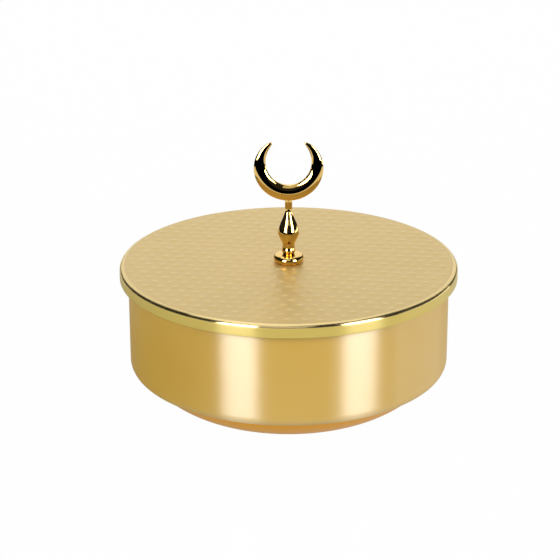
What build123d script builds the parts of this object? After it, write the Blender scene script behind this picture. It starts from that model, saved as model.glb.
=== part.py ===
from build123d import *
import os
from math import acos, cos, degrees, radians, sin

# A round candy box in gold-finished brass: a bowl made of an upright wall and a dished base, on a
# low foot, and a lift-off lid with an embossed top sheet, a polished rim band and a turned finial
# that carries a crescent.
# Millimetres, +Z up. The origin is on the surface that the box stands on, under its centre, and
# the flat of the crescent faces -Y.

# Overall sizes
lid_diameter = 198.6
lid_overhang = 5.0

# Foot, from the surface upwards
felt_thickness = 1.3
foot_height = 3.8
foot_radius = 38.0
foot_width = 5.0
felt_inset = 0.6

# Bowl: an upright wall whose lower edge is rolled in, and a base that is flat in the middle,
# rises in a dish and sits inside the rolled edge
bowl_depth = 83.2
wall_thickness = 1.0
wall_edge_rise = 20.2
wall_edge_radius = 6.5
base_thickness = 1.0
floor_radius = 46.4
base_clearance = 0.1
rim_bead_radius = 1.6
rim_bead_flat = 0.2

# Lid: plain disc, embossed sheet on it, band rolled over the edge of both, collar that drops
# into the bowl
disc_thickness = 1.0
sheet_thickness = 0.6
band_height = 7.7
band_wall = 1.2
band_edge_radius = 2.7
band_lip = 0.4
sheet_edge_gap = 0.1
collar_clearance = 0.6
collar_wall = 1.0
collar_depth = 7.0

# Finial foot, a low rosette turned with a soft edge and a hollowed top
rosette_seat_radius = 7.6
rosette_radius = 8.9
rosette_widest = 2.2
rosette_shoulder_radius = 6.4
rosette_shoulder = 5.0
rosette_hollow_radius = 4.6
rosette_hollow = 5.0
rosette_height = 5.4

# Finial stem, a slim baluster; heights are above the lid's top face
stem_seat_radius = 2.9
stem_flare_radius = 4.0
stem_flare = 7.0
stem_waist_radius = 3.55
stem_waist = 9.7
stem_belly_radius = 6.3
stem_belly = 18.2
stem_neck_radius = 2.1
stem_neck = 32.8
stem_top_radius = 2.25
stem_top = 38.6

# Crescent: a flattened bar on an arc that closes in a little towards its two rounded tips, with
# a notch in its lowest part that fits over the stem's top
crescent_line_radius = 17.8
crescent_draw_in = 2.4
crescent_bar_radius = 4.85
crescent_depth_share = 0.45
crescent_seat_depth = 0.9
crescent_tip_angle = 140.0
crescent_taper_angle = 145.0
crescent_taper_power = 0.64
crescent_sections = 17

# Peg between stem and crescent, and the screw that holds the finial on from inside the lid
peg_radius = 1.0
peg_in_stem = 6.0
peg_in_crescent = 4.0
screw_radius = 2.0
screw_in_stem = 9.0
screw_head_radius = 3.6
screw_head_height = 2.4
screw_slot_width = 1.0
screw_slot_depth = 1.0
washer_radius = 6.0
washer_thickness = 0.8
bore_clearance = 0.05

# Heights that follow from the sizes above
floor_z = felt_thickness + foot_height
rim_z = floor_z + bowl_depth
wall_bottom_z = floor_z + wall_edge_rise
disc_top_z = rim_z + disc_thickness
lid_top_z = disc_top_z + sheet_thickness
band_bottom_z = lid_top_z - band_height
crescent_center_z = lid_top_z + stem_top - crescent_seat_depth + crescent_bar_radius + crescent_line_radius

# Radii that follow
lid_radius = lid_diameter / 2
bowl_radius = lid_radius - lid_overhang
band_inner_radius = lid_radius - band_wall
lip_radius = lid_radius - band_edge_radius - band_lip
wall_inner_radius = bowl_radius - wall_thickness
wall_edge_end_radius = bowl_radius - wall_edge_radius
collar_radius = wall_inner_radius - collar_clearance


def turned(outline):
    """Solid turned about the Z axis from a closed outline of (radius, height) edges."""
    return revolve(Plane.XZ * make_face(outline), Axis.Z, 360)


def ring(inner, outer, bottom, top):
    """Plain ring, or a disc where the inner radius is zero, between two heights."""
    outline = Polyline((inner, bottom), (outer, bottom), (outer, top), (inner, top), close=True)
    return turned(outline)


def rod(radius, bottom, top):
    """Upright round rod on the Z axis between two heights."""
    return Pos(0, 0, bottom) * extrude(Circle(radius), top - bottom)


def polar(center, radius, angle):
    """Point at an angle in degrees on a circle in the (radius, height) plane."""
    return (center[0] + radius * cos(radians(angle)), center[1] + radius * sin(radians(angle)))


def arc(center, radius, start, end):
    """Arc about a centre in the (radius, height) plane, from one angle to another."""
    middle = (start + end) / 2
    points = [polar(center, radius, angle) for angle in (start, middle, end)]
    return ThreePointArc(*points)


def make_foot_ring():
    return ring(foot_radius - foot_width, foot_radius, felt_thickness, floor_z)


def make_felt_ring():
    inner = foot_radius - foot_width + felt_inset
    return ring(inner, foot_radius - felt_inset, 0, felt_thickness)


def make_side_wall():
    """Upright sheet with a rolled-in lower edge and a round bead along the rim, cut level."""
    corner = (wall_edge_end_radius, wall_bottom_z + wall_edge_radius)
    inner_edge = wall_edge_radius - wall_thickness
    bead_z = rim_z + rim_bead_flat - rim_bead_radius
    outline = Curve() + [
        arc(corner, wall_edge_radius, -90, 0),
        Line(polar(corner, wall_edge_radius, 0), (bowl_radius, bead_z)),
        Line((bowl_radius, bead_z), (wall_inner_radius, bead_z)),
        Line((wall_inner_radius, bead_z), polar(corner, inner_edge, 0)),
        arc(corner, inner_edge, 0, -90),
        Line(polar(corner, inner_edge, -90), polar(corner, wall_edge_radius, -90)),
    ]
    bead_center = wall_inner_radius + rim_bead_radius
    bead = turned(Pos(bead_center, bead_z) * CenterArc((0, 0), rim_bead_radius, 0, 360))
    bead_top = ring(wall_inner_radius - wall_thickness, bead_center + wall_thickness + rim_bead_radius,
                    rim_z, rim_z + rim_bead_radius)
    return turned(outline) + (bead - bead_top)


def make_base():
    """Dished sheet: its arc leaves the floor level, clears the wall's edge and ends at the wall.

    The arc's radius follows from the floor's radius and the point where it passes the edge.
    """
    edge = (wall_edge_end_radius, wall_bottom_z + wall_thickness + base_clearance)
    reach = edge[0] - floor_radius
    rise = edge[1] - floor_z
    dish_radius = (reach**2 + rise**2) / (2 * rise)
    dish = (floor_radius, floor_z + dish_radius)
    inner_dish = dish_radius - base_thickness
    span = wall_inner_radius - base_clearance - floor_radius
    outer_end = -degrees(acos(span / dish_radius))
    inner_end = -degrees(acos(span / inner_dish))
    outline = Curve() + [
        Line((0, floor_z), (floor_radius, floor_z)),
        arc(dish, dish_radius, -90, outer_end),
        Line(polar(dish, dish_radius, outer_end), polar(dish, inner_dish, inner_end)),
        arc(dish, inner_dish, inner_end, -90),
        Line((floor_radius, floor_z + base_thickness), (0, floor_z + base_thickness)),
        Line((0, floor_z + base_thickness), (0, floor_z)),
    ]
    return turned(outline)


def make_lid_disc():
    return ring(0, lip_radius - sheet_edge_gap, rim_z, disc_top_z) - screw_bore()


def make_top_sheet():
    return ring(0, lip_radius - sheet_edge_gap, disc_top_z, lid_top_z) - screw_bore()


def make_band():
    """Upright strip that rolls over at the top into a short lip, level with the sheet."""
    edge = (lid_radius - band_edge_radius, lid_top_z - band_edge_radius)
    outline = Curve() + [
        Line((band_inner_radius, band_bottom_z), (lid_radius, band_bottom_z)),
        Line((lid_radius, band_bottom_z), (lid_radius, edge[1])),
        arc(edge, band_edge_radius, 0, 90),
        Line((edge[0], lid_top_z), (lip_radius, lid_top_z)),
        Line((lip_radius, lid_top_z), (lip_radius, rim_z)),
        Line((lip_radius, rim_z), (band_inner_radius, rim_z)),
        Line((band_inner_radius, rim_z), (band_inner_radius, band_bottom_z)),
    ]
    return turned(outline)


def make_collar():
    return ring(collar_radius - collar_wall, collar_radius, rim_z - collar_depth, rim_z)


def screw_bore():
    """Clearance hole for the finial screw through the disc, the sheet and the rosette."""
    return rod(screw_radius + bore_clearance, rim_z, lid_top_z + rosette_height)


def make_rosette():
    outline = Curve() + [
        Line((0, lid_top_z), (rosette_seat_radius, lid_top_z)),
        ThreePointArc(
            (rosette_seat_radius, lid_top_z),
            (rosette_radius, lid_top_z + rosette_widest),
            (rosette_shoulder_radius, lid_top_z + rosette_shoulder),
        ),
        ThreePointArc(
            (rosette_shoulder_radius, lid_top_z + rosette_shoulder),
            (rosette_hollow_radius, lid_top_z + rosette_hollow),
            (stem_seat_radius, lid_top_z + rosette_height),
        ),
        Line((stem_seat_radius, lid_top_z + rosette_height), (0, lid_top_z + rosette_height)),
        Line((0, lid_top_z + rosette_height), (0, lid_top_z)),
    ]
    return turned(outline) - screw_bore()


def upright_curve(start, end):
    """S-curve between two (radius, height) points that is upright at both."""
    return Spline(start, end, tangents=[(0, 1), (0, 1)])


def make_stem():
    seat = (stem_seat_radius, lid_top_z + rosette_height)
    flare = (stem_flare_radius, lid_top_z + stem_flare)
    waist = (stem_waist_radius, lid_top_z + stem_waist)
    belly = (stem_belly_radius, lid_top_z + stem_belly)
    neck = (stem_neck_radius, lid_top_z + stem_neck)
    top = (stem_top_radius, lid_top_z + stem_top)
    outline = Curve() + [
        Line((0, seat[1]), seat),
        Spline(seat, flare, tangents=[(1, 0.3), (0, 1)]),
        upright_curve(flare, waist),
        upright_curve(waist, belly),
        upright_curve(belly, neck),
        upright_curve(neck, top),
        Line(top, (0, top[1])),
        Line((0, top[1]), (0, seat[1])),
    ]
    screw_hole = rod(screw_radius + bore_clearance, seat[1], seat[1] + screw_in_stem + bore_clearance)
    peg_hole = rod(peg_radius + bore_clearance, top[1] - peg_in_stem - bore_clearance, top[1])
    return turned(outline) - screw_hole - peg_hole


def crescent_line(angle):
    """Radius of the crescent's centre line at an angle from its lowest point."""
    return crescent_line_radius - crescent_draw_in * (1 - cos(radians(angle))) / 2


def crescent_bar(angle):
    """Half the width of the crescent's bar at an angle from its lowest point, fading out fast."""
    return crescent_bar_radius * cos(radians(90 * angle / crescent_taper_angle)) ** crescent_taper_power


def make_crescent():
    center = Vector(0, 0, crescent_center_z)
    step = 2 * crescent_tip_angle / (crescent_sections - 1)
    angles = [step * i - crescent_tip_angle for i in range(crescent_sections)]
    sections = []
    tips = []
    for angle in angles:
        outward = Vector(sin(radians(angle)), 0, -cos(radians(angle)))
        along = Vector(cos(radians(angle)), 0, sin(radians(angle)))
        place = center + outward * crescent_line(angle)
        bar = crescent_bar(angle)
        section = Ellipse(bar * crescent_depth_share, bar)
        sections.append(Plane(place, x_dir=(0, 1, 0), z_dir=along) * section)
        if abs(angle) == crescent_tip_angle:
            tips.append(Pos(*place) * scale(Sphere(bar), by=(1, crescent_depth_share, 1)))
    top_z = lid_top_z + stem_top
    seat = rod(stem_top_radius + bore_clearance, top_z - crescent_bar_radius, top_z)
    peg_hole = rod(peg_radius + bore_clearance, top_z, top_z + peg_in_crescent + bore_clearance)
    return loft(sections) + tips - seat - peg_hole


def make_peg():
    top_z = lid_top_z + stem_top
    return rod(peg_radius, top_z - peg_in_stem, top_z + peg_in_crescent)


def make_screw():
    """Round head under the washer, and a plain shank that stands for the thread."""
    head_top = rim_z - washer_thickness
    head_bottom = head_top - screw_head_height
    head = rod(screw_head_radius, head_bottom, head_top)
    shank = rod(screw_radius, head_top, lid_top_z + rosette_height + screw_in_stem)
    slot_size = Box(2 * screw_head_radius, screw_slot_width, 2 * screw_slot_depth)
    return head + shank - Pos(0, 0, head_bottom) * slot_size


def make_washer():
    return ring(screw_radius + bore_clearance, washer_radius, rim_z - washer_thickness, rim_z)


pieces = {
    "felt_ring": make_felt_ring(),
    "foot_ring": make_foot_ring(),
    "side_wall": make_side_wall(),
    "base_dish": make_base(),
    "lid_disc": make_lid_disc(),
    "lid_top_sheet": make_top_sheet(),
    "lid_band": make_band(),
    "lid_collar": make_collar(),
    "finial_rosette": make_rosette(),
    "finial_stem": make_stem(),
    "finial_crescent": make_crescent(),
    "crescent_peg": make_peg(),
    "finial_screw": make_screw(),
    "finial_washer": make_washer(),
}

os.makedirs("parts", exist_ok=True)
for name, piece in pieces.items():
    export_step(piece, f"parts/{name}.step")
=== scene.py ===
import math

import bpy
import numpy as np
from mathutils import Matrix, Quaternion, Vector


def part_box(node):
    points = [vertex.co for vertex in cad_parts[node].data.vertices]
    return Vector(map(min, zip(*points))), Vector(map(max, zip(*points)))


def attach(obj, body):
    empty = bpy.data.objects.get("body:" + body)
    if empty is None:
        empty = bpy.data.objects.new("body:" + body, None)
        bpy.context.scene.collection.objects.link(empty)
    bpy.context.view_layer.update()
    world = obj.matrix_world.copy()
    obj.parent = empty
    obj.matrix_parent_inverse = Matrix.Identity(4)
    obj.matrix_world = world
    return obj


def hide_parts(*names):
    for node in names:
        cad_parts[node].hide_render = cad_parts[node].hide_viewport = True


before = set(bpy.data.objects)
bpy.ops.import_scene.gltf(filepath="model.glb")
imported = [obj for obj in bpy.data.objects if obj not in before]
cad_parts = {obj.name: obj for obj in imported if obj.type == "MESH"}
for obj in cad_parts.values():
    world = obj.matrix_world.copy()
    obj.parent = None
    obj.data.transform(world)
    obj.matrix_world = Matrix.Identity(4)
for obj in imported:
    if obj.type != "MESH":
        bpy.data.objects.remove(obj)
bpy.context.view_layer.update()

MM = 0.001

# Places read from the frame, in metres
lid_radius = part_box("lid_band")[1].x
lid_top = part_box("lid_top_sheet")[1].z
sheet_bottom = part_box("lid_top_sheet")[0].z
disc_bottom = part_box("lid_disc")[0].z
band_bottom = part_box("lid_band")[0].z
collar_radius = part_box("lid_collar")[1].x
collar_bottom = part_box("lid_collar")[0].z
base_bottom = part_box("base_dish")[0].z
base_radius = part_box("base_dish")[1].x
wall_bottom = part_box("side_wall")[0].z
foot_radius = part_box("foot_ring")[1].x
felt_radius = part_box("felt_ring")[1].x
felt_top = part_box("felt_ring")[1].z
washer_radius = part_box("finial_washer")[1].x
washer_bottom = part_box("finial_washer")[0].z
stem_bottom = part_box("finial_stem")[0].z
stem_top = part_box("finial_stem")[1].z

# Bowl: upright wall with a rolled-in edge, and the dished base inside it
wall_thickness = 1.0 * MM
collar_clearance = 0.6 * MM
wall_inner_radius = collar_radius + collar_clearance
bowl_radius = wall_inner_radius + wall_thickness
wall_edge_radius = 6.5 * MM
base_thickness = 1.0 * MM
base_clearance = 0.1 * MM
floor_radius = 46.4 * MM
bead_radius = 1.6 * MM
bead_flat = 0.2 * MM

# Lid
band_wall = 1.2 * MM
band_hem_radius = 0.4 * MM
band_edge_radius = 2.7 * MM
band_lip = 0.4 * MM
lip_radius = lid_radius - band_edge_radius - band_lip
sheet_edge_gap = 0.1 * MM
collar_wall = 1.0 * MM
bore_radius = 2.05 * MM
foot_width = 5.0 * MM
felt_width = 3.8 * MM

# Mirror-like zone on the band's rolled edge, and the finish of the lip past it
roll_start = 0.75 * MM
roll_end = 0.12 * MM
roll_blend = 0.30 * MM
mirror_share = 0.6
lip_color = (0.66, 0.49, 0.20)

# Embossing: staggered rows of small domes, turned a little against the front of the box
emboss_pitch = 8.6 * MM
emboss_row = 6.95 * MM
emboss_turn = math.radians(-5.8)
emboss_origin = (-0.6 * MM, -5.8 * MM)
emboss_width = 4.4 * MM
emboss_stretch = 1.35
emboss_height = 0.45 * MM
emboss_border = 1.0 * MM
emboss_fade = 1.0 * MM
sheet_cells = 284

# Finial, heights above the lid's top face
rosette_seat_radius = 7.6 * MM
rosette_radius = 8.9 * MM
rosette_widest = 2.2 * MM
rosette_shoulder_radius = 6.4 * MM
rosette_shoulder = 5.0 * MM
rosette_hollow_radius = 4.6 * MM
rosette_hollow = 5.0 * MM
stem_seat_radius = 2.9 * MM
stem_foot_rise = 0.4 * MM
stem_profile = {
    "flare": (4.0 * MM, 7.0 * MM),
    "waist": (3.55 * MM, 9.7 * MM),
    "belly": (6.3 * MM, 18.2 * MM),
    "neck": (2.1 * MM, 32.8 * MM),
}
stem_top_radius = 2.25 * MM
crescent_line_radius = 17.8 * MM
crescent_draw_in = 2.4 * MM
crescent_bar_radius = 4.85 * MM
crescent_depth_share = 0.45
crescent_seat_depth = 0.9 * MM
crescent_tip_angle = math.radians(140.0)
crescent_taper_angle = math.radians(145.0)
crescent_taper_power = 0.64
crescent_rows = 181
crescent_steps = 64
cap_rows = 5

# Camera, fitted to the outlines of the lid and the bowl; the photograph is 560 pixels wide
photo_width = 560
photo_center = 280.0
lid_center_column = 288.6
lid_center_row = 261.25
camera_distance = 1.2
camera_elevation = math.radians(20.63)
focal_pixels = 1.70 * 1200.0
camera_roll = math.radians(0.12)
sensor_width = 36.0

# Studio: a soft light level, and in reflections a white backdrop behind the box in a dark room
world_light = 0.3
backdrop_rise = math.radians(37.0)
backdrop_reach = math.radians(39.0)
backdrop_edge = math.radians(2.0)
room_level = 0.02
strip_distance = 0.9

# Table: its levels where it is seen and as light, and its finish
table_size = 40.0
floor_glow = 0.985
floor_light = 0.6
table_color = (0.35, 0.35, 0.35, 1)
table_roughness = 0.10
table_ior = 2.4

# Table as the gold mirrors it: its edges, the shade round the box and the glow near its left foot
table_front = -0.35
table_side = 0.60
table_near = 0.24
table_far = 0.30
table_edge = 0.01
shade_reach = 0.18
shade_left = 0.0
shade_right = 0.60
glow_near = 0.13
glow_far = 0.24
near_glow = 0.24
glow_left = -0.22
glow_right = -0.10
table_level = 0.80


def arc(center, radius, start, end, steps):
    """Points at even angles, in degrees, on a circle in the (radius, height) plane."""
    t = np.radians(np.linspace(start, end, steps))
    return np.stack([center[0] + radius * np.cos(t), center[1] + radius * np.sin(t)], -1)


def line(start, end, steps=2):
    """Points at even steps on a straight line in the (radius, height) plane."""
    t = np.linspace(0, 1, steps)[:, None]
    return np.array(start) * (1 - t) + np.array(end) * t


def through(start, middle, end, steps):
    """Points at even angles on the circle through three points of the (radius, height) plane.

    Its centre is where the two bisectors meet: 2 (p - start) . c = |p|^2 - |start|^2 for both p.
    """
    points = np.array([start, middle, end])
    sides = 2 * (points[1:] - points[0])
    center = np.linalg.solve(sides, np.sum(points[1:]**2, 1) - np.sum(points[0]**2))
    radius = np.linalg.norm(points[0] - center)
    angle = np.unwrap(np.arctan2(points[:, 1] - center[1], points[:, 0] - center[0]))
    return arc(center, radius, math.degrees(angle[0]), math.degrees(angle[2]), steps)


def ease(start, end, steps=16):
    """S-curve that is upright at both ends: radius goes as 3t^2 - 2t^3 while height goes as t."""
    t = np.linspace(0, 1, steps)
    blend = 3 * t**2 - 2 * t**3
    radius = start[0] + (end[0] - start[0]) * blend
    return np.stack([radius, start[1] + (end[1] - start[1]) * t], -1)


def joined(*stretches):
    """One outline from several, without the points that two neighbours share."""
    points = np.concatenate(stretches)
    step = np.linalg.norm(np.diff(points, axis=0), axis=1)
    return points[np.concatenate([[True], step > 1e-9])]


def make_mesh(name, vertices, faces, uv=None, sharp=40.0):
    """Mesh object at the origin from arrays of points and of four-cornered faces."""
    mesh = bpy.data.meshes.new(name)
    mesh.from_pydata(vertices.tolist(), [], faces)
    if uv is not None:
        layer = mesh.uv_layers.new(name="along")
        layer.data.foreach_set("uv", uv.astype(np.float32).ravel())
    mesh.polygons.foreach_set("use_smooth", np.ones(len(mesh.polygons), bool))
    mesh.set_sharp_from_angle(angle=math.radians(sharp))
    mesh.update()
    piece = bpy.data.objects.new(name, mesh)
    bpy.context.scene.collection.objects.link(piece)
    return piece


def fan(pole, first, steps, backwards=False):
    """Triangles between a pole and the ring of vertices that starts at first."""
    j = np.arange(steps)
    pairs = np.stack([first + j, first + (j + 1) % steps], -1)
    if backwards:
        pairs = pairs[:, ::-1]
    return np.column_stack([np.full(steps, pole), pairs]).tolist()


def turned(name, outline, steps=288, closed=True):
    """Surface of revolution: a point (r, z) of the outline goes to (r cos t, r sin t, z).

    A closed outline goes round the section of a ring. An open one starts and ends on the axis,
    and its two end points become poles. The outline is turned about where its faces would point
    inwards, which is where its signed area is positive.
    """
    r, z = outline[:, 0], outline[:, 1]
    area = np.sum(r * np.roll(z, -1) - np.roll(r, -1) * z)
    if area > 0:
        outline = outline[::-1]
        r, z = outline[:, 0], outline[:, 1]
    t = np.linspace(0, 2 * math.pi, steps, endpoint=False)
    rows = outline if closed else outline[1:-1]
    ring = np.stack([
        rows[:, 0, None] * np.cos(t),
        rows[:, 0, None] * np.sin(t),
        np.broadcast_to(rows[:, 1, None], (len(rows), steps)),
    ], -1)
    count = len(rows)
    i = np.arange(count if closed else count - 1)[:, None]
    j = np.arange(steps)[None, :]
    below, above = i * steps, (i + 1) % count * steps
    following = (j + 1) % steps
    quads = np.stack([below + j, above + j, above + following, below + following], -1)
    vertices = ring.reshape(-1, 3)
    faces = quads.reshape(-1, 4).tolist()
    if not closed:
        first, last = len(vertices), len(vertices) + 1
        poles = [[0, 0, outline[0, 1]], [0, 0, outline[-1, 1]]]
        vertices = np.concatenate([vertices, poles])
        faces += fan(first, 0, steps)
        faces += fan(last, (count - 1) * steps, steps, backwards=True)
    return make_mesh(name, vertices, faces)


def ring_outline(inner, outer, bottom, top, edge=0.15 * MM):
    """Section of a plain ring whose four corners are broken by a small radius."""
    return joined(
        arc((outer - edge, bottom + edge), edge, -90, 0, 4),
        arc((outer - edge, top - edge), edge, 0, 90, 4),
        arc((inner + edge, top - edge), edge, 90, 180, 4),
        arc((inner + edge, bottom + edge), edge, 180, 270, 4),
    )


def make_side_wall():
    """Upright sheet: an arc rolls its lower edge in to level, a round bead cut level is its rim."""
    corner = (bowl_radius - wall_edge_radius, wall_bottom + wall_edge_radius)
    inner = wall_inner_radius
    bead = (inner + bead_radius, disc_bottom + bead_flat - bead_radius)
    flat_angle = math.degrees(math.asin((bead_radius - bead_flat) / bead_radius))
    below_bead = bead[1] - math.sqrt(bead_radius**2 - (bead_radius - wall_thickness)**2)
    join_angle = math.degrees(math.atan2(below_bead - bead[1], bowl_radius - bead[0]))
    outline = joined(
        arc(corner, wall_edge_radius, -90, 0, 24),
        line((bowl_radius, corner[1]), (bowl_radius, below_bead), 24),
        arc(bead, bead_radius, join_angle, flat_angle, 10),
        arc(bead, bead_radius, 180 - flat_angle, 180, 6),
        line((inner, bead[1]), (inner, corner[1]), 24),
        arc(corner, wall_edge_radius - wall_thickness, 0, -90, 24),
    )
    return turned("upright_wall", outline)


def make_base():
    """Dished sheet: level floor, then an arc that clears the wall's edge and ends at the wall.

    The arc's radius is (reach^2 + rise^2) / (2 rise), for the reach and rise from the end of the
    floor to the wall's edge.
    """
    edge = (bowl_radius - wall_edge_radius, wall_bottom + wall_thickness + base_clearance)
    reach = edge[0] - floor_radius
    rise = edge[1] - base_bottom
    dish_radius = (reach**2 + rise**2) / (2 * rise)
    dish = (floor_radius, base_bottom + dish_radius)
    inner_dish = dish_radius - base_thickness
    breadth = base_radius - floor_radius
    outer_end = -math.degrees(math.acos(breadth / dish_radius))
    inner_end = -math.degrees(math.acos(breadth / inner_dish))
    outline = joined(
        line((0, base_bottom), (floor_radius, base_bottom), 8),
        arc(dish, dish_radius, -90, outer_end, 48),
        arc(dish, inner_dish, inner_end, -90, 48),
        line((floor_radius, base_bottom + base_thickness), (0, base_bottom + base_thickness), 8),
    )
    return turned("dished_base", outline, closed=False)


def make_band():
    """Polished strip round the lid: upright, and rolled over at the top into a short level lip."""
    inner = lid_radius - band_wall
    edge = band_edge_radius
    hem = band_hem_radius
    outline = joined(
        arc((lid_radius - hem, band_bottom + hem), hem, -90, 0, 6),
        line((lid_radius, band_bottom + hem), (lid_radius, lid_top - edge), 6),
        arc((lid_radius - edge, lid_top - edge), edge, 0, 90, 24),
        line((lip_radius, lid_top), (lip_radius, disc_bottom)),
        line((inner, disc_bottom), (inner, band_bottom)),
    )
    return turned("rim_band", outline, steps=360)


def make_sheet():
    """Embossed round sheet on a square grid that is bent to a disc, keeping areas equal.

    A grid point (a, b) of the square goes to radius max(|a|, |b|) and to an angle that runs
    evenly along the square's side. Each dome rises as (1 - q^2)^2, where q is the distance from
    the nearest place of the lattice over half the dome's width. The edge runs down to the disc.
    """
    cells = sheet_cells
    side = np.linspace(-1, 1, cells + 1)
    a, b = np.meshgrid(side, side)
    wide = np.abs(a) > np.abs(b)
    reach = np.where(wide, a, b)
    share = np.where(wide, b, a) / np.where(reach == 0, 1, reach)
    angle = share * math.pi / 4
    radius = lip_radius - sheet_edge_gap
    x = radius * np.where(wide, reach * np.cos(angle), reach * np.sin(angle))
    y = radius * np.where(wide, reach * np.sin(angle), reach * np.cos(angle))
    z = lid_top + emboss_height * emboss(x, y)
    top = np.stack([x, y, z], -1).reshape(-1, 3)
    n = cells + 1
    i, j = np.meshgrid(np.arange(cells), np.arange(cells), indexing="ij")
    start = i * n + j
    quads = np.stack([start, start + 1, start + n + 1, start + n], -1).reshape(-1, 4)
    around = np.concatenate([
        np.arange(cells),
        np.arange(cells) * n + cells,
        n * n - 1 - np.arange(cells),
        (cells - np.arange(cells)) * n,
    ])
    rim = top[around].copy()
    rim[:, 2] = sheet_bottom
    count = len(around)
    below = len(top) + np.arange(count)
    wall = np.stack([around, below, np.roll(below, -1), np.roll(around, -1)], -1)
    underside = fan(len(top) + count, len(top), count, backwards=True)
    vertices = np.concatenate([top, rim, [[0, 0, sheet_bottom]]])
    return make_mesh("embossed_sheet", vertices, quads.tolist() + wall.tolist() + underside)


def emboss(x, y):
    """Height of the domes, from 0 to 1: rows of one pitch, every second row half a pitch along."""
    c, s = math.cos(emboss_turn), math.sin(emboss_turn)
    u = (x - emboss_origin[0]) * c + (y - emboss_origin[1]) * s
    v = (y - emboss_origin[1]) * c - (x - emboss_origin[0]) * s
    height = np.zeros_like(x)
    for shift in (0.0, 1.0):
        row = 2 * emboss_row * np.round((v / emboss_row - shift) / 2) + shift * emboss_row
        along = emboss_pitch * (np.round(u / emboss_pitch - shift / 2) + shift / 2)
        q = np.hypot((u - along) / emboss_stretch, v - row) / (emboss_width / 2)
        height = np.maximum(height, np.clip(1 - q**2, 0, 1) ** 2)
    distance = np.hypot(x, y)
    outside = np.clip((lip_radius - emboss_border - distance) / emboss_fade, 0, 1)
    inside = np.clip((distance - rosette_radius) / emboss_fade, 0, 1)
    return height * outside * inside


def make_rosette():
    """Turned foot of the finial: a round bulging edge and a hollowed top that rises to the stem."""
    low = (rosette_seat_radius, lid_top)
    widest = (rosette_radius, lid_top + rosette_widest)
    shoulder = (rosette_shoulder_radius, lid_top + rosette_shoulder)
    hollow = (rosette_hollow_radius, lid_top + rosette_hollow)
    seat = (stem_seat_radius, stem_bottom)
    outline = joined(
        line((0, lid_top), low),
        through(low, widest, shoulder, 24),
        through(shoulder, hollow, seat, 16),
        line(seat, (0, stem_bottom)),
    )
    return turned("rosette", outline, steps=160, closed=False)


def make_stem():
    """Slim baluster: a flared foot, a waist, a full belly and a long taper to the neck."""
    place = {name: (radius, lid_top + height) for name, (radius, height) in stem_profile.items()}
    seat = (stem_seat_radius, stem_bottom)
    t = np.linspace(0, 1, 8)[:, None]
    knee = np.array([place["flare"][0], seat[1] + stem_foot_rise])
    foot = (1 - t) ** 2 * np.array(seat) + 2 * t * (1 - t) * knee + t**2 * np.array(place["flare"])
    outline = joined(
        line((0, seat[1]), seat),
        foot,
        ease(place["flare"], place["waist"]),
        ease(place["waist"], place["belly"], 24),
        ease(place["belly"], place["neck"], 36),
        ease(place["neck"], (stem_top_radius, stem_top), 12),
        line((stem_top_radius, stem_top), (0, stem_top)),
    )
    return turned("baluster", outline, steps=128, closed=False)


def make_crescent():
    """Flattened bar on an arc: its width is a power of the cosine of the angle from the bottom.

    The arc closes in by crescent_draw_in (1 - cos angle) / 2. A point is the arc's place plus half
    the bar's width times (cos q outwards, crescent_depth_share sin q across). Past each tip the
    rows close to a pole as half an ellipsoid.
    """
    center_z = stem_top - crescent_seat_depth + crescent_bar_radius + crescent_line_radius
    along = np.linspace(-crescent_tip_angle, crescent_tip_angle, crescent_rows)
    cap = np.radians(np.linspace(15, 75, cap_rows))
    angle = np.concatenate([np.full(cap_rows, along[0]), along, np.full(cap_rows, along[-1])])
    shrink = np.concatenate([np.cos(cap[::-1]), np.ones(len(along)), np.cos(cap)])
    push = np.concatenate([-np.sin(cap[::-1]), np.zeros(len(along)), np.sin(cap)])
    taper = np.cos(angle * math.pi / 2 / crescent_taper_angle) ** crescent_taper_power
    bar = crescent_bar_radius * taper
    arc_radius = crescent_line_radius - crescent_draw_in * (1 - np.cos(angle)) / 2
    q = np.linspace(0, 2 * math.pi, crescent_steps, endpoint=False)
    outward = np.stack([np.sin(angle), np.zeros_like(angle), -np.cos(angle)], -1)
    forward = np.stack([np.cos(angle), np.zeros_like(angle), np.sin(angle)], -1)
    middle = arc_radius[:, None] * outward
    middle = middle + bar[:, None] * push[:, None] * forward
    across = np.array([0.0, crescent_depth_share, 0.0])
    section = np.cos(q)[None, :, None] * outward[:, None, :] + np.sin(q)[None, :, None] * across
    points = middle[:, None, :] + (bar * shrink)[:, None, None] * section
    points[..., 2] += center_z
    rows, steps = points.shape[:2]
    i, j = np.meshgrid(np.arange(rows - 1), np.arange(steps), indexing="ij")
    following = (j + 1) % steps
    quads = np.stack([i * steps + j, i * steps + following, (i + 1) * steps + following,
                      (i + 1) * steps + j], -1).reshape(-1, 4)
    tips = np.stack([middle[0] - bar[0] * forward[0] * (1 - math.sin(cap[-1])),
                     middle[-1] + bar[-1] * forward[-1] * (1 - math.sin(cap[-1]))])
    tips[:, 2] += center_z
    first = rows * steps
    caps = fan(first, 0, steps, backwards=True) + fan(first + 1, (rows - 1) * steps, steps)
    vertices = np.concatenate([points.reshape(-1, 3), tips])
    return make_mesh("crescent", vertices, quads.tolist() + caps)


def new_material(name):
    """Empty node material, with its Principled shader and its node tree."""
    material = bpy.data.materials.new(name)
    material.use_nodes = True
    return material, material.node_tree, material.node_tree.nodes["Principled BSDF"]


def add_node(tree, kind, **inputs):
    """Node of a kind with some of its input values set by name."""
    made = tree.nodes.new(kind)
    for key, value in inputs.items():
        made.inputs[key.replace("_", " ")].default_value = value
    return made


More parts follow.
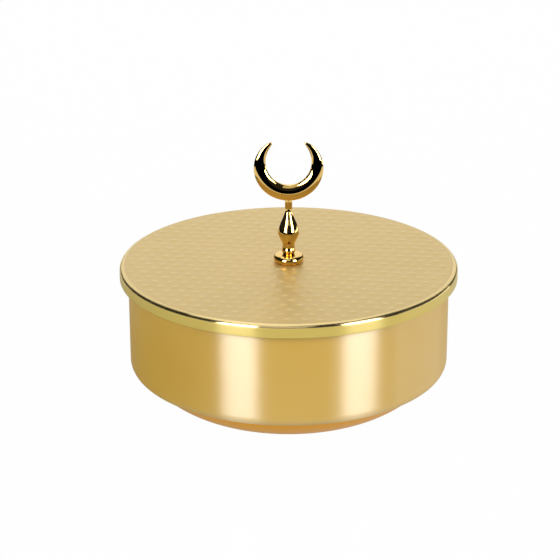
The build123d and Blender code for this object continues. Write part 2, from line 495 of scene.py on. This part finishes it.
def span(tree, value, start, end, low, high, smooth=False):
    """Linked value mapped from a stretch to a range, and held at the ends."""
    node = add_node(tree, "ShaderNodeMapRange")
    if smooth:
        node.interpolation_type = "SMOOTHSTEP"
    node.inputs["From Min"].default_value = start
    node.inputs["From Max"].default_value = end
    node.inputs["To Min"].default_value = low
    node.inputs["To Max"].default_value = high
    tree.links.new(value, node.inputs["Value"])
    return node.outputs["Result"]


def combined(tree, operation, *values):
    """Result of a math operation on linked values."""
    node = add_node(tree, "ShaderNodeMath")
    node.operation = operation
    for value, socket in zip(values, node.inputs):
        tree.links.new(value, socket)
    return node.outputs["Value"]


def mix_colors(tree, factor, first, second):
    """Colour between two by a linked factor; each is a plain colour or a linked one."""
    mix = add_node(tree, "ShaderNodeMix")
    mix.data_type = "RGBA"
    tree.links.new(factor, mix.inputs["Factor"])
    for socket, color in ((mix.inputs["A"], first), (mix.inputs["B"], second)):
        if isinstance(color, tuple):
            socket.default_value = (*color, 1)
        else:
            tree.links.new(color, socket)
    return mix.outputs["Result"]


def noise_between(tree, coordinate, scale, low, high, stretch=(1, 1, 1), detail=3.0):
    """Noise in object space, stretched by direction and mapped from low to high."""
    mapping = add_node(tree, "ShaderNodeMapping")
    mapping.inputs["Scale"].default_value = stretch
    tree.links.new(coordinate, mapping.inputs["Vector"])
    noise = add_node(tree, "ShaderNodeTexNoise", Scale=scale, Detail=detail)
    tree.links.new(mapping.outputs["Vector"], noise.inputs["Vector"])
    return span(tree, noise.outputs["Fac"], 0.3, 0.7, low, high)


def gold(name, color, deep, metallic, roughness, spread, anisotropic=0.0, brush=0.0, ior=1.5,
         edge=(1.0, 1.0, 1.0), painted_dome_highlight=None, rolled=None):
    """Gold finish: colour drifts a little from color to deep, roughness varies by the spread.

    The lacquer's gloss is the ior, and edge is the tint near the outline. A brushed finish has
    fine lines round the axis: bump from noise that is stretched along the circumference by
    reading height finely and the other directions coarsely. On an embossed sheet, the colour for
    the tops of the domes is a painted highlight, which comes in with height. On the band, rolled is
    the colour of its rolled edge, which is polished to a mirror.
    """
    material, tree, shader = new_material(name)
    place = add_node(tree, "ShaderNodeTexCoord").outputs["Object"]
    drift = noise_between(tree, place, 28.0, 0.0, 1.0)
    tone = mix_colors(tree, drift, color, deep)
    rough = noise_between(tree, place, 90.0, roughness - spread, roughness + spread)
    shader.inputs["Metallic"].default_value = metallic
    axes = add_node(tree, "ShaderNodeSeparateXYZ")
    tree.links.new(place, axes.inputs["Vector"])
    height = axes.outputs["Z"]
    # Painted highlight: the tops of the domes get a lighter colour as they rise.
    if painted_dome_highlight:
        top = span(tree, height, lid_top + 0.05 * emboss_height, lid_top + emboss_height, 0, 1)
        tone = mix_colors(tree, top, tone, painted_dome_highlight)
    if rolled:
        low = lid_top - band_edge_radius + roll_start
        rising = span(tree, height, low, low + roll_blend, 0, 1)
        falling = span(tree, height, lid_top - roll_end - roll_blend, lid_top - roll_end, 1, 0)
        mirror = combined(tree, "MULTIPLY", rising, falling)
        lip = span(tree, height, lid_top - roll_end - roll_blend, lid_top - roll_end, 0, 1)
        tone = mix_colors(tree, mirror, mix_colors(tree, lip, tone, lip_color), rolled)
        tree.links.new(span(tree, mirror, 0, 1, metallic, 1.0), shader.inputs["Metallic"])
        polish = span(tree, mirror, 0, 1, 1.0, mirror_share)
        rough = combined(tree, "MULTIPLY", rough, polish)
    tree.links.new(tone, shader.inputs["Base Color"])
    tree.links.new(rough, shader.inputs["Roughness"])
    shader.inputs["IOR"].default_value = ior
    shader.inputs["Specular Tint"].default_value = (*edge, 1)
    shader.inputs["Anisotropic"].default_value = anisotropic
    shader.inputs["Anisotropic Rotation"].default_value = 0.25
    if brush:
        lines = noise_between(tree, place, 60.0, 0.0, 1.0, stretch=(1, 1, 60), detail=2.0)
        bump = add_node(tree, "ShaderNodeBump", Strength=brush, Distance=0.05 * MM)
        tree.links.new(lines, bump.inputs["Height"])
        tree.links.new(bump.outputs["Normal"], shader.inputs["Normal"])
    return material


def felt(name, color):
    """Felt: dark wool colour with a fine speckle and a soft fuzzy bump."""
    material, tree, shader = new_material(name)
    place = add_node(tree, "ShaderNodeTexCoord").outputs["Object"]
    speckle = noise_between(tree, place, 900.0, 0.7, 1.3, detail=6.0)
    mix = add_node(tree, "ShaderNodeMix")
    mix.data_type = "RGBA"
    mix.blend_type = "MULTIPLY"
    mix.inputs["Factor"].default_value = 1.0
    mix.inputs["A"].default_value = (*color, 1)
    tree.links.new(speckle, mix.inputs["B"])
    tree.links.new(mix.outputs["Result"], shader.inputs["Base Color"])
    shader.inputs["Roughness"].default_value = 0.95
    bump = add_node(tree, "ShaderNodeBump", Strength=0.6, Distance=0.2 * MM)
    tree.links.new(speckle, bump.inputs["Height"])
    tree.links.new(bump.outputs["Normal"], shader.inputs["Normal"])
    return material


def steel(name):
    """Zinc-plated steel of the screw: grey metal with uneven dull patches."""
    material, tree, shader = new_material(name)
    place = add_node(tree, "ShaderNodeTexCoord").outputs["Object"]
    rough = noise_between(tree, place, 400.0, 0.22, 0.42)
    tree.links.new(rough, shader.inputs["Roughness"])
    shader.inputs["Base Color"].default_value = (0.62, 0.61, 0.58, 1)
    shader.inputs["Metallic"].default_value = 1.0
    return material


def dress(piece, material, body, *nodes, slot=None):
    """Give a new piece its material and its body, and hide the nodes that it stands for. The slot
    is not used.
    """
    piece.data.materials.append(material)
    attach(piece, body)
    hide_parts(*nodes)


def make_camera():
    """Camera at the photograph's distance and height, aimed to put the lid's centre in place."""
    data = bpy.data.cameras.new("photo_camera")
    data.sensor_width = sensor_width
    data.lens = focal_pixels / photo_width * sensor_width
    camera = bpy.data.objects.new("photo_camera", data)
    bpy.context.scene.collection.objects.link(camera)
    back = Vector((0, -math.cos(camera_elevation), math.sin(camera_elevation)))
    upward = Vector((0, math.sin(camera_elevation), math.cos(camera_elevation)))
    lid_center = Vector((0, 0, lid_top))
    pixel = camera_distance / focal_pixels
    aside = Vector((-(lid_center_column - photo_center) * pixel, 0, 0))
    aim = lid_center + aside - upward * (photo_center - lid_center_row) * pixel
    camera.location = lid_center + back * camera_distance
    camera.rotation_mode = "QUATERNION"
    look = (aim - camera.location).to_track_quat("-Z", "Y")
    camera.rotation_quaternion = look @ Quaternion((0, 0, 1), -camera_roll)
    bpy.context.scene.camera = camera


def by_ray(tree, seen, mirrored, lighting):
    """Level for camera and transmission rays, for glossy rays, and for the rays that light."""
    path = add_node(tree, "ShaderNodeLightPath")
    direct = combined(tree, "MAXIMUM", path.outputs["Is Camera Ray"],
                      path.outputs["Is Transmission Ray"])
    level = add_node(tree, "ShaderNodeMix")
    tree.links.new(path.outputs["Is Glossy Ray"], level.inputs["Factor"])
    tree.links.new(span(tree, direct, 0, 1, lighting, seen), level.inputs["A"])
    if isinstance(mirrored, float):
        level.inputs["B"].default_value = mirrored
    else:
        tree.links.new(mirrored, level.inputs["B"])
    return level.outputs["Result"]


def make_world():
    """White where it is seen, a plain soft level as light, and a studio in reflections.

    In reflections a white backdrop fills a round part of the sky behind the box, and the rest of
    the room is dark.
    """
    world = bpy.data.worlds.new("studio")
    world.use_nodes = True
    world.cycles.sampling_method = "NONE"
    tree = world.node_tree
    bpy.context.scene.world = world
    background = tree.nodes["Background"]
    background.inputs["Color"].default_value = (1, 1, 1, 1)
    direction = add_node(tree, "ShaderNodeTexCoord").outputs["Generated"]
    toward = add_node(tree, "ShaderNodeVectorMath")
    toward.operation = "DOT_PRODUCT"
    toward.inputs[1].default_value = (0, math.cos(backdrop_rise), math.sin(backdrop_rise))
    tree.links.new(direction, toward.inputs[0])
    backdrop = span(tree, toward.outputs["Value"], math.cos(backdrop_reach + backdrop_edge),
                    math.cos(backdrop_reach - backdrop_edge), room_level, 1.0, smooth=True)
    strength = by_ray(tree, 1.0, backdrop, world_light)
    tree.links.new(strength, background.inputs["Strength"])


def table_in_reflections(tree):
    """Level of the white table as the gold mirrors it: dim round the box, dark past its edges."""
    place = add_node(tree, "ShaderNodeTexCoord").outputs["Object"]
    distance = add_node(tree, "ShaderNodeVectorMath")
    distance.operation = "LENGTH"
    tree.links.new(place, distance.inputs[0])
    reach = distance.outputs["Value"]
    axes = add_node(tree, "ShaderNodeSeparateXYZ")
    tree.links.new(place, axes.inputs["Vector"])
    x, y = axes.outputs["X"], axes.outputs["Y"]
    sideways = span(tree, x, -shade_reach, shade_reach, shade_left, shade_right)
    glow = combined(tree, "MULTIPLY", span(tree, reach, glow_near, glow_far, near_glow, 0),
                    span(tree, x, glow_left, glow_right, 0, 1))
    level = add_node(tree, "ShaderNodeMix")
    tree.links.new(span(tree, reach, table_near, table_far, 0, 1), level.inputs["Factor"])
    tree.links.new(combined(tree, "ADD", sideways, glow), level.inputs["A"])
    level.inputs["B"].default_value = table_level
    front = span(tree, y, table_front - table_edge, table_front + table_edge, 0, 1)
    aside = combined(tree, "ABSOLUTE", x)
    side = span(tree, aside, table_side - table_edge, table_side + table_edge, 1, 0)
    within = combined(tree, "MULTIPLY", level.outputs["Result"], front)
    return combined(tree, "MULTIPLY", within, side)


def make_floor():
    """Polished white table top, nearly as bright as the background where seen, with a shadow."""
    size = table_size
    mesh = bpy.data.meshes.new("studio_floor")
    corners = [(-size, -size, 0), (size, -size, 0), (size, size, 0), (-size, size, 0)]
    mesh.from_pydata(corners, [], [(0, 1, 2, 3)])
    floor = bpy.data.objects.new("studio_floor", mesh)
    bpy.context.scene.collection.objects.link(floor)
    material, tree, shader = new_material("white_floor")
    material.cycles.emission_sampling = "NONE"
    shader.inputs["Base Color"].default_value = table_color
    shader.inputs["Roughness"].default_value = table_roughness
    shader.inputs["IOR"].default_value = table_ior
    glow = add_node(tree, "ShaderNodeEmission", Color=(1, 1, 1, 1), Strength=1.0)
    table = add_node(tree, "ShaderNodeMixShader")
    tree.links.new(by_ray(tree, floor_glow, 0.0, floor_light), table.inputs["Fac"])
    tree.links.new(shader.outputs["BSDF"], table.inputs[1])
    tree.links.new(glow.outputs["Emission"], table.inputs[2])
    mirrored = add_node(tree, "ShaderNodeEmission", Color=(1, 1, 1, 1))
    tree.links.new(table_in_reflections(tree), mirrored.inputs["Strength"])
    path = add_node(tree, "ShaderNodeLightPath")
    mix = add_node(tree, "ShaderNodeMixShader")
    tree.links.new(path.outputs["Is Glossy Ray"], mix.inputs["Fac"])
    tree.links.new(table.outputs["Shader"], mix.inputs[1])
    tree.links.new(mirrored.outputs["Emission"], mix.inputs[2])
    tree.links.new(mix.outputs["Shader"], tree.nodes["Material Output"].inputs["Surface"])
    mesh.materials.append(material)


def make_lamp(name, place, target, width, tall, radiance, mirrored=True):
    """Soft rectangular lamp at a place that faces a target, with the radiance of its face."""
    data = bpy.data.lights.new(name, "AREA")
    data.shape = "RECTANGLE"
    data.size = width
    data.size_y = tall
    data.energy = radiance * math.pi * width * tall
    lamp = bpy.data.objects.new(name, data)
    lamp.location = place
    lamp.rotation_mode = "QUATERNION"
    lamp.rotation_quaternion = (Vector(target) - Vector(place)).to_track_quat("-Z", "Y")
    lamp.visible_camera = False
    lamp.visible_glossy = mirrored
    bpy.context.scene.collection.objects.link(lamp)


def make_strip(name, azimuth, width, tall, height, radiance):
    """Upright strip lamp round the box. Azimuth is from the camera's side, to the right."""
    turn = math.radians(azimuth)
    place = (math.sin(turn) * strip_distance, -math.cos(turn) * strip_distance, height)
    make_lamp(name, place, (0, 0, height), width, tall, radiance)


def spare_glare(piece, *lamps):
    """Leave a piece out of what the lamps light: their glare hides it from the far side."""
    spared = bpy.data.collections.new("spared_glare")
    spared.objects.link(piece)
    spared.collection_objects[0].light_linking.link_state = "EXCLUDE"
    for lamp in lamps:
        bpy.data.objects[lamp].light_linking.receiver_collection = spared


make_camera()
make_world()
make_floor()
make_strip("left_strip", azimuth=-32.8, width=0.38, tall=0.64, height=0.42, radiance=9.8)
make_strip("right_strip", azimuth=48.1, width=0.38, tall=0.64, height=0.42, radiance=9.3)
make_strip("right_card", azimuth=100.0, width=0.9, tall=0.12, height=0.06, radiance=2.4)
make_lamp("front_box", (-0.15, -0.75, 0.85), (0, 0, lid_top), width=0.8, tall=0.7, radiance=0.6)
make_lamp("top_box", (-0.1, 0.1, 1.1), (0, 0, lid_top), width=0.9, tall=0.9, radiance=0.9)
make_lamp("back_box", (0, 0.9, 0.5), (0, 0, 0), width=1.2, tall=0.8, radiance=2.2,
          mirrored=False)

satin_gold = gold("satin_gold", (0.485, 0.280, 0.003), (0.47, 0.268, 0.002),
                  metallic=0.0, roughness=0.35, spread=0.02,
                  anisotropic=1.0, brush=0.12, ior=3.5, edge=(1.0, 0.99, 0.90))
dish_gold = gold("dished_gold", (0.69, 0.31, 0.002), (0.66, 0.29, 0.001),
                 metallic=0.3, roughness=0.35, spread=0.03, ior=1.3)
band_gold = gold("polished_gold", (0.52, 0.395, 0.09), (0.50, 0.38, 0.085),
                 metallic=0.3, roughness=0.30, spread=0.02,
                 anisotropic=1.0, brush=0.05, ior=2.0, edge=(1.0, 0.95, 0.75),
                 rolled=(0.95, 0.74, 0.36))
# The lighter colour for the tops of the domes is a painted highlight.
sheet_gold = gold("embossed_gold", (0.735, 0.53, 0.195), (0.715, 0.515, 0.187),
                  metallic=0.35, roughness=0.36, spread=0.04, painted_dome_highlight=(0.82, 0.62, 0.245))
mirror_gold = gold("mirror_gold", (0.94, 0.64, 0.21), (0.92, 0.61, 0.19),
                   metallic=1.0, roughness=0.04, spread=0.01)
wool_felt = felt("brown_felt", (0.045, 0.028, 0.018))
screw_steel = steel("screw_steel")

dress(make_side_wall(), satin_gold, "box", "side_wall", slot="satin_gold")
dress(make_base(), dish_gold, "box", "base_dish", slot="satin_gold")
dress(make_band(), band_gold, "lid", "lid_band", slot="polished_gold")
top_sheet = make_sheet()
dress(top_sheet, sheet_gold, "lid", "lid_top_sheet", slot="embossed_gold")
spare_glare(top_sheet, "left_strip", "right_strip")
dress(make_rosette(), mirror_gold, "lid", "finial_rosette", slot="mirror_gold")
dress(make_stem(), mirror_gold, "lid", "finial_stem", slot="mirror_gold")
dress(make_crescent(), mirror_gold, "lid", "finial_crescent", slot="mirror_gold")
dress(turned("foot", ring_outline(foot_radius - foot_width, foot_radius, felt_top, base_bottom)),
      satin_gold, "box", "foot_ring", slot="satin_gold")
dress(turned("felt", ring_outline(felt_radius - felt_width, felt_radius, 0.0, felt_top)),
      wool_felt, "box", "felt_ring", slot="felt")
dress(turned("disc", ring_outline(bore_radius, lip_radius - sheet_edge_gap,
                                  disc_bottom, sheet_bottom)),
      satin_gold, "lid", "lid_disc", slot="satin_gold")
dress(turned("collar", ring_outline(collar_radius - collar_wall, collar_radius,
                                    collar_bottom, disc_bottom)),
      satin_gold, "lid", "lid_collar", slot="satin_gold")
dress(turned("washer", ring_outline(bore_radius, washer_radius, washer_bottom, disc_bottom),
             steps=96),
      screw_steel, "lid", "finial_washer", slot="screw_steel")
for name in ("finial_screw", "crescent_peg"):
    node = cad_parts[name]
    node.data.materials.clear()
    node.data.materials.append(screw_steel)

bpy.context.scene.view_settings.view_transform = "Standard"
